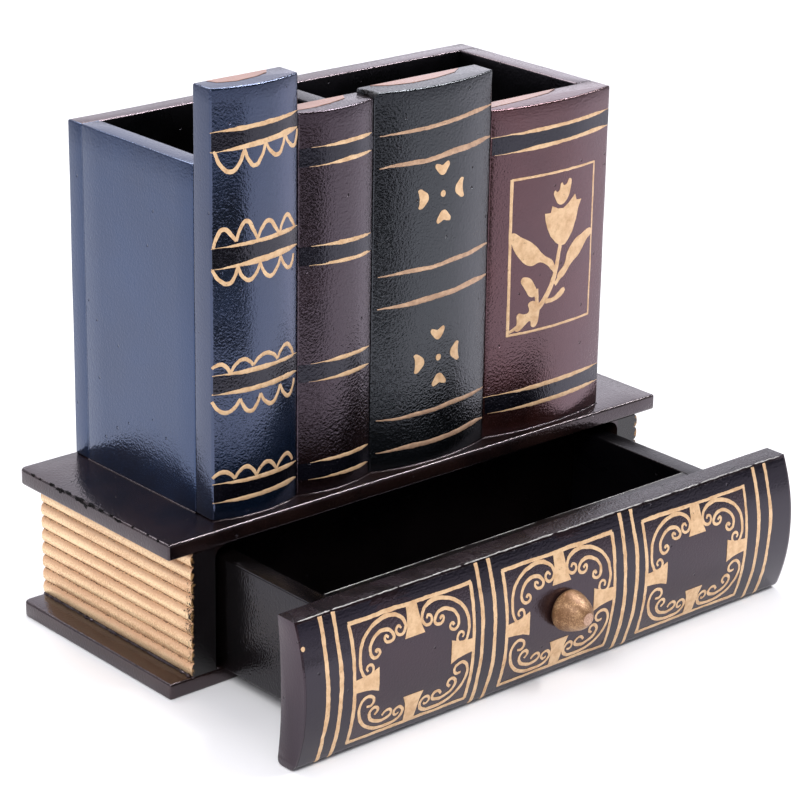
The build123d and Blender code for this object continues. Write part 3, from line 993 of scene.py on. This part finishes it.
bud = [(0.575, 0.79), (0.535, 0.82), (0.52, 0.885), (0.545, 0.872), (0.575, 0.88), (0.6, 0.925),
       (0.625, 0.905), (0.66, 0.91), (0.7, 0.94), (0.71, 0.88), (0.68, 0.82), (0.62, 0.785)]
bloom = [(0.61, 0.515), (0.55, 0.545), (0.49, 0.59), (0.445, 0.65), (0.42, 0.7), (0.41, 0.748),
         (0.48, 0.744), (0.495, 0.788), (0.56, 0.766), (0.63, 0.758), (0.7, 0.785), (0.77, 0.83),
         (0.79, 0.79), (0.85, 0.785), (0.815, 0.73), (0.79, 0.66), (0.75, 0.59), (0.7, 0.545), (0.66, 0.52)]
left_leaf = [(0.0, 0.655), (0.15, 0.62), (0.29, 0.565), (0.4, 0.49), (0.54, 0.41), (0.54, 0.37),
             (0.46, 0.41), (0.37, 0.44), (0.25, 0.43), (0.12, 0.49), (0.02, 0.59)]
right_leaf = [(1.0, 0.56), (0.87, 0.555), (0.77, 0.52), (0.7, 0.46), (0.67, 0.39), (0.585, 0.31),
              (0.62, 0.3), (0.75, 0.38), (0.85, 0.43), (0.93, 0.5)]
low_leaf = [(0.15, 0.355), (0.22, 0.36), (0.31, 0.3), (0.33, 0.235), (0.27, 0.225), (0.2, 0.28)]
foot_leaf = [(0.12, 0.13), (0.2, 0.12), (0.25, 0.13), (0.25, 0.19), (0.36, 0.17), (0.37, 0.08), (0.34, 0.03),
             (0.29, 0.03), (0.27, 0.07), (0.21, 0.05), (0.1, 0.02), (0.11, 0.07)]
tulip = [bud, bloom, left_leaf, right_leaf, low_leaf, foot_leaf]
painted_shapes("brown_gold_tulip", [(in_frame(shape), shape is not bloom) for shape in tulip],
               on_spine("brown"), "stand")

page_patches = {
    "blue": [(0.14, 1.0), (0.82, 1.0), (0.76, 0.78), (0.6, 0.6), (0.36, 0.52), (0.18, 0.7)],
    "maroon": [(0.02, 1.0), (0.8, 1.0), (0.74, 0.74), (0.5, 0.55), (0.25, 0.48), (0.02, 0.52)],
    "green": [(0.1, 1.0), (0.84, 1.0), (0.76, 0.76), (0.56, 0.6), (0.36, 0.58), (0.2, 0.74)],
    "brown": [(0.02, 1.0), (0.66, 1.0), (0.56, 0.78), (0.34, 0.64), (0.02, 0.56)],
}


def on_top(book):
    """Gives the place of (across, depth, back) on one spine's top, back being from its front."""
    low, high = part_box("spine_" + book)
    return lambda across, depth, back: (
        sanded(Vector((across, low.y + back, high.z))) - Vector((0, 0, depth)))


for book, patch in page_patches.items():
    low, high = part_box("spine_" + book)
    deep = (high.y - low.y) / mm - 1.1
    shape = along_spine(book, [(across, deep * back) for across, back in patch])
    painted_shapes(book + "_page_edges", [(shape, False)], on_top(book), "stand",
                   cell=4 * mm, material=page_cream, thickness=0.14 * mm)

# Paint fills the joints of the box flush, at its rim and down its corners.
def filled_joints(name, joints, material):
    """Fill joints given by (a place on the joint, direction out of the wood, far end)."""
    for number, (start, out, end) in enumerate(joints):
        start, out, end = Vector(start), Vector(out), Vector(end)
        along = (end - start).normalized()
        aside = out.cross(along)

        def in_joint(travel, depth, sideways):
            crest = start + along * travel + aside * sideways
            return sanded(crest) + out * (depth / bead_height * 0.6 - 0.49 * mm)

        length = (end - start).length / mm
        stroke = [(length * part / 12, 0, 0.9) for part in range(13)]
        painted_strokes(name + "_" + str(number), [stroke], in_joint, "stand", material=material)


left_low, left_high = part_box("box_left_panel")
right_low, right_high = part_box("box_right_panel")
foot_z, rim_z = left_low.z, left_high.z
upwards, leftwards, rightwards = (0, 0, 1), (-1, 0, 0), (1, 0, 0)
filled_joints("left_joint_filled", [
    ((left_low.x + 0.7 * mm, left_high.y, rim_z), upwards, (left_high.x - 0.7 * mm, left_high.y, rim_z)),
    ((left_low.x, left_high.y, foot_z), leftwards, (left_low.x, left_high.y, rim_z - 0.7 * mm)),
], navy)
filled_joints("right_joint_filled", [
    ((right_low.x + 0.7 * mm, y, rim_z), upwards, (right_high.x - 0.7 * mm, y, rim_z))
    for y in (right_low.y, right_high.y)
] + [
    ((right_high.x, y, foot_z), rightwards, (right_high.x, y, rim_z - 0.7 * mm))
    for y in (right_low.y, right_high.y)
], maroon)

# Varnish has run together into thin beads along the feet of the box and the spines
# and under the page blocks, with a drop near the front of each block.
foot_beads = [[(left_low.x / mm, y / mm, 0.5) for y in (left_high.y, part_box("spine_blue")[1].y)]]
for book in spine_bulge:
    low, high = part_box("spine_" + book)
    front = spine_front(book)
    bead = []
    for number in range(15):
        x = low.x + (high.x - low.x) * number / 14
        bead.append((x / mm, front(x) / mm, 0.48 + 0.14 * noise.noise(Vector((x * 300, 0, 0)))))
    foot_beads.append(bead)


def on_board(across, depth, back):
    """Place on the top board; the bead stands up from it."""
    return Vector((across, back, board_top * mm + depth / bead_height * 0.8))


painted_strokes("foot_varnish_beads", foot_beads, on_board, "stand", cover_varnish)

cover_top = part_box("bottom_board")[1].z


def on_cover(across, depth, back):
    """Place on the lower cover board; the bead stands up from it."""
    return Vector((across, back, cover_top + depth / bead_height * 0.9))


block_beads = []
for side in (-1, 1):
    block_beads.append([(
        side * (block_high.x - 0.6 * mm) / mm,
        (block_low.y + (block_high.y - block_low.y) * step / 60) / mm,
        0.7 + 0.75 * noise.noise(Vector((side * 7.3, step * 1.37, 0))),
    ) for step in range(61)])
    drop_y = block_low.y / mm + 2
    block_beads.append([(side * (block_high.x / mm - 0.4), drop_y + 1.2 * step, 1.4 - 0.5 * abs(step))
                        for step in (-1, 0, 1)])
painted_strokes("page_block_foot_beads", block_beads, on_cover, "stand", cover_varnish)

# Where the paint was knocked, small ragged chips are left along the upper edges.
chip_dark = varnished("chip_dark", srgb(2, 2, 2), srgb(14, 10, 8), gloss=0.03, roughness=0.45, haze=0.0,
                      bump=0.0004, cloud_scale=500.0)


def over_left_edge(edge_x, edge_z, radius):
    """Gives the place of (along y, depth, round) over a rounded upper left edge."""
    quarter = radius * math.pi / 4

    def lay(along, depth, round_edge):
        turn = min(max((round_edge + quarter) / radius, 0), math.pi / 2)
        inward = max(round_edge - quarter, 0)
        downward = max(-quarter - round_edge, 0)
        place = Vector((edge_x + radius * (1 - math.cos(turn)) + inward, along,
                        edge_z - radius * (1 - math.sin(turn)) - downward))
        return sanded(place) + Vector((math.cos(turn), 0, -math.sin(turn))) * depth

    return lay


def ragged_chips(name, spots, lay):
    """Chips given by (along, round, length, width) in millimetres."""
    shapes = []
    for number, (along, round_edge, length, width) in enumerate(spots):
        shape = []
        for corner in range(13):
            turn = math.tau * corner / 13
            size = 0.7 + 0.77 * noise.noise(Vector((number * 3.17, corner * 1.71, 0.4)))
            shape.append((along + length * size * math.cos(turn),
                          round_edge + width * size * math.sin(turn)))
        shapes.append((shape, False))
    painted_shapes(name, shapes, lay, "stand", cell_axis=1, cell=0.25 * mm, material=chip_dark,
                   thickness=0.12 * mm)


edge_y = board_high.y / mm
ragged_chips("top_board_chips", [(edge_y + behind, *chip) for behind, *chip in (
    (-9, 0.1, 1.6, 0.7), (-14, -0.1, 1.1, 0.6), (-21, 0.2, 2.6, 0.8), (-27, -0.2, 3.2, 1.1),
    (-31, 0.5, 2.2, 1.2), (-39, 0.0, 4.2, 1.5), (-43, -1.2, 1.6, 1.0), (-46, 0.3, 3.4, 1.1),
    (-52, 0.1, 2.2, 0.8), (-58, 0.4, 1.3, 0.6), (-63, -0.1, 2.4, 0.7), (-71, 0.2, 1.0, 0.6),
    (-80, 0.3, 1.1, 0.5), (-86, 0.1, 1.4, 0.6),
)], over_left_edge(board_low.x, board_high.z, cover_edge_radius))
green_edge_y = (spine_front("green")(green_low.x) + spine_edge_radius) / mm
ragged_chips("green_book_chips", [(green_edge_y + behind, *chip) for behind, *chip in (
    (1.4, -0.5, 2.0, 1.8), (3.4, -0.2, 2.2, 1.5), (5.4, -0.6, 1.6, 1.1), (2.6, -1.7, 1.1, 0.8),
)], over_left_edge(green_low.x, green_high.z, spine_edge_radius))

# Two edges of the drawer carry pale grey paint: the inner edge of its front wall,
# where worn paint and a painted highlight are one line, and the rounded edge
# between the face's front and its top, where broken marks are a painted highlight.
wall_low, wall_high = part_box("drawer_front_wall")
# Pale grey paint, for worn paint and for painted highlights.
worn_and_highlight_grey = gold_paint("worn_and_highlight_grey", srgb(150, 148, 146), srgb(96, 94, 92), srgb(30, 28, 28),
                         cover=0.25, metallic=0.2, roughness=0.3)


def on_front_wall(across, depth, back):
    """Place on the inner upper edge of the drawer's front wall."""
    return Vector((across, wall_high.y - 0.7 * mm + back, wall_high.z + depth / bead_height * 0.5))


# Along the front wall's inner edge the pale line is worn paint and a painted highlight in one.
edge_from, edge_to = wall_low.x / mm + 0.5, wall_high.x / mm - 0.5
wall_line = []
for step in range(41):
    half_width = 0.16 + 0.09 * noise.noise(Vector((step * 0.9, 2.2, 0)))
    wall_line.append((edge_from + (edge_to - edge_from) * step / 40, 0, half_width))
painted_strokes("front_wall_worn_and_highlit_line", [wall_line], on_front_wall, "drawer", worn_and_highlight_grey)

edge_tilt = math.radians(57)
edge_out = Vector((0, -math.cos(edge_tilt), math.sin(edge_tilt)))
edge_over = Vector((0, edge_out.z, -edge_out.y))


def on_face_edge(across, depth, over):
    """Place on the rounded edge between the face's front and its top."""
    crest = Vector((across, face_front(face_high.z), face_high.z))
    return sanded(crest) + edge_over * over - edge_out * (0.1 * mm + depth / bead_height * 0.7)


# Broken pale marks along the face's top front edge: a painted highlight.
edge_highlight_marks = []
for number in range(16):
    start = face_low.x / mm + 1.6 + number * 14.8
    reach = 14.2 + 2.4 * noise.noise(Vector((number * 2.3, 0.7, 0)))
    edge_highlight_marks.append([(
        start + reach * step / 9,
        0.12 * noise.noise(Vector((number * 1.9, step * 0.8, 3))),
        (0.26 + 0.12 * noise.noise(Vector((number * 3.1, step * 0.9, 5)))) * (0.5 if step in (0, 9) else 1),
    ) for step in range(10)])
painted_strokes("face_edge_painted_highlight", edge_highlight_marks, on_face_edge, "drawer", worn_and_highlight_grey)

# -------------------------------------------------------------------------- knob
# Turned wooden ball with a blunt tip, gilded by hand; it is screwed on from
# inside the drawer, and the screw's pan head shows on the front wall.
knob_low, knob_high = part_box("knob")
knob_z = (knob_low.z + knob_high.z) / 2
knob_tip_radius = 2.4
knob_profile = [
    (0.0, 0.0), (1.6, 0.0), (knob_tip_radius, 0.05), (2.8, 0.35), (3.8, 1.2), (4.7, 2.2), (5.5, 3.4),
    (6.3, 5.0), (6.9, 6.6), (7.45, 8.3), (7.75, 9.8), (7.65, 10.9), (7.0, 11.7), (5.8, 12.2), (4.9, 12.4),
    (4.6, 12.6),
]


def knob_piece():
    """Spin the profile, given as (radius, distance behind the tip)."""
    mesh = bpy.data.meshes.new("knob_gilded")
    rim = [(radius * mm, knob_low.y + behind * mm, knob_z) for radius, behind in knob_profile]
    mesh.from_pydata(rim, [(index, index + 1) for index in range(len(rim) - 1)], [])
    piece = new_piece("knob_gilded", mesh)
    bpy.ops.object.mode_set(mode="EDIT")
    bpy.ops.mesh.select_all(action="SELECT")
    bpy.ops.mesh.spin(steps=48, angle=math.tau, center=(0, knob_low.y, knob_z), axis=(0, 1, 0))
    close_up()
    smoothing = piece.modifiers.new("smoothing", "SUBSURF")
    smoothing.levels = 1
    smoothing.render_levels = 1
    bpy.ops.object.modifier_apply(modifier="smoothing")
    bpy.ops.object.shade_smooth_by_angle(angle=math.radians(50))
    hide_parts("knob")
    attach(piece, "drawer")
    return piece


knob_gold = gold_paint("knob_gold", srgb(188, 150, 110), srgb(124, 88, 58), srgb(72, 46, 30), cover=0.42,
                       metallic=0.42, roughness=0.36, grain=2100.0, bump=0.0001, sparkle=1.1)
tip_gold = gold_paint("knob_tip_gold", srgb(196, 160, 136), srgb(160, 122, 100), srgb(104, 74, 56),
                      metallic=0.25, roughness=0.45, grain=1700.0, sparkle=1.2)
knob = knob_piece()
knob.data.materials.append(knob_gold)
knob.data.materials.append(tip_gold)
for face in knob.data.polygons:
    off_axis = math.hypot(face.center.x, face.center.z - knob_z)
    if off_axis < knob_tip_radius * mm and face.center.y < knob_low.y + 0.4 * mm:
        face.material_index = 1

screw_steel = new_material("screw_steel")
steel_tree = screw_steel.node_tree
scuffs = speckle(steel_tree, object_place(steel_tree), 2200.0, 4.0, 0.7)
add_finish(steel_tree, {
    "Base Color": blended(steel_tree, scuffs, srgb(112, 108, 104), srgb(186, 184, 180)),
    "Metallic": 0.9, "Roughness": 0.4})
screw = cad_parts["knob_screw"]
screw.data.materials.clear()
screw.data.materials.append(screw_steel)

# ------------------------------------------------------------------------ studio
# Pale table, white surroundings and three soft boxes. Cards that only the varnish
# sees give it dark and bright reflections. The camera stands where the picture's did.
clear_selection()
bpy.ops.mesh.primitive_plane_add(size=6, location=(0, 0, -0.05 * mm))
table = bpy.context.object
table.name = "table"
table_paint = new_material("table_paint")
add_finish(table_paint.node_tree, {"Base Color": (0.86, 0.86, 0.87, 1), "Roughness": 0.7})
table.data.materials.append(table_paint)

world = bpy.data.worlds.new("white_room")
world.use_nodes = True
surroundings = world.node_tree.nodes["Background"].inputs
surroundings["Color"].default_value = (0.94, 0.92, 1, 1)
surroundings["Strength"].default_value = 0.7
bpy.context.scene.world = world


def soft_box(name, place, aim, width, height, power):
    """Rectangular area light that faces its aim."""
    light = bpy.data.lights.new(name, "AREA")
    light.shape = "RECTANGLE"
    light.size = width
    light.size_y = height
    light.energy = power
    lamp = bpy.data.objects.new(name, light)
    lamp.location = place
    lamp.rotation_euler = (Vector(aim) - Vector(place)).to_track_quat("-Z", "Y").to_euler()
    bpy.context.collection.objects.link(lamp)


soft_box("key_box", (-0.9, -0.6, 1.1), (0, 0, 0.08), 0.7, 0.7, 14)
soft_box("top_box", (0.2, 0.7, 1.2), (0, 0, 0.1), 1.2, 0.6, 12)
soft_box("glint_box", (0.55, -0.56, 1.05), (0, 0, 0.08), 0.4, 0.06, 5)


def reflected_card(name, corners, glow, colour=(1, 1, 1)):
    """Card seen only as a reflection in the varnish: black, or glowing like a lit panel."""
    mesh = bpy.data.meshes.new(name)
    mesh.from_pydata([Vector(corner) for corner in corners], [], [(0, 1, 2, 3)])
    card = new_piece(name, mesh)
    paint = new_material(name + "_paint")
    add_finish(paint.node_tree, {
        "Base Color": (0.01, 0.01, 0.01, 1), "Roughness": 0.9,
        "Emission Color": colour + (1,), "Emission Strength": glow})
    card.data.materials.append(paint)
    card.visible_camera = False
    card.visible_shadow = False
    card.visible_diffuse = False


reflected_card("front_flag", [
    (-0.34, -0.34, 0.003), (0.095, -0.34, 0.003), (0.18, -0.80, 0.003), (-0.45, -0.80, 0.003)], 0)
reflected_card("ceiling_flag", [(-1.6, 0.9, 1.5), (2.4, 0.9, 1.5), (2.4, -2, 1.5), (-1.6, -2, 1.5)], 0)
reflected_card("far_flag", [(-1.6, -2, 1.5), (2.4, -2, 1.5), (2.4, -2, 0.45), (-1.6, -2, 0.45)], 0)
reflected_card("glint_strip", [
    (0.2, -0.15, 1.25), (1.6, -0.15, 1.25), (1.6, -0.07, 1.25), (0.2, -0.07, 1.25)], 75)
reflected_card("right_card", [
    (0.14, -0.10, 0.003), (0.85, -0.67, 0.003), (1.2, -0.3, 0.003), (1.2, 0.1, 0.003)], 1.5, (0.95, 0.92, 1))
reflected_card("back_card_left", [
    (0.26, 1.2, 0.24), (0.78, 0.9, 0.24), (0.78, 0.9, 1.0), (0.26, 1.2, 1.0)], 1.3, (0.92, 0.9, 1))
reflected_card("back_card_right", [
    (0.78, 0.9, 0.24), (1.32, 0.6, 0.24), (1.32, 0.6, 1.0), (0.78, 0.9, 1.0)], 1.9, (0.92, 0.9, 1))

camera_azimuth = math.radians(-41.29)
camera_elevation = math.radians(20.71)
camera_roll = math.radians(1.02)
camera_distance = 1.088
camera_target = Vector((0.0117, -0.01625, 0.0737))
back = Vector((
    math.sin(camera_azimuth) * math.cos(camera_elevation),
    -math.cos(camera_azimuth) * math.cos(camera_elevation),
    math.sin(camera_elevation),
))
level_right = Vector((math.cos(camera_azimuth), math.sin(camera_azimuth), 0))
level_up = back.cross(level_right)
right = level_right * math.cos(camera_roll) + level_up * math.sin(camera_roll)
up = level_up * math.cos(camera_roll) - level_right * math.sin(camera_roll)
lens = bpy.data.cameras.new("camera")
lens.sensor_width = 36
lens.lens = 128.9
camera = bpy.data.objects.new("camera", lens)
camera.matrix_world = Matrix((
    (right.x, up.x, back.x, 0), (right.y, up.y, back.y, 0), (right.z, up.z, back.z, 0), (0, 0, 0, 1),
))
camera.location = camera_target + back * camera_distance
bpy.context.collection.objects.link(camera)
bpy.context.scene.camera = camera
bpy.context.scene.view_settings.view_transform = "Standard"
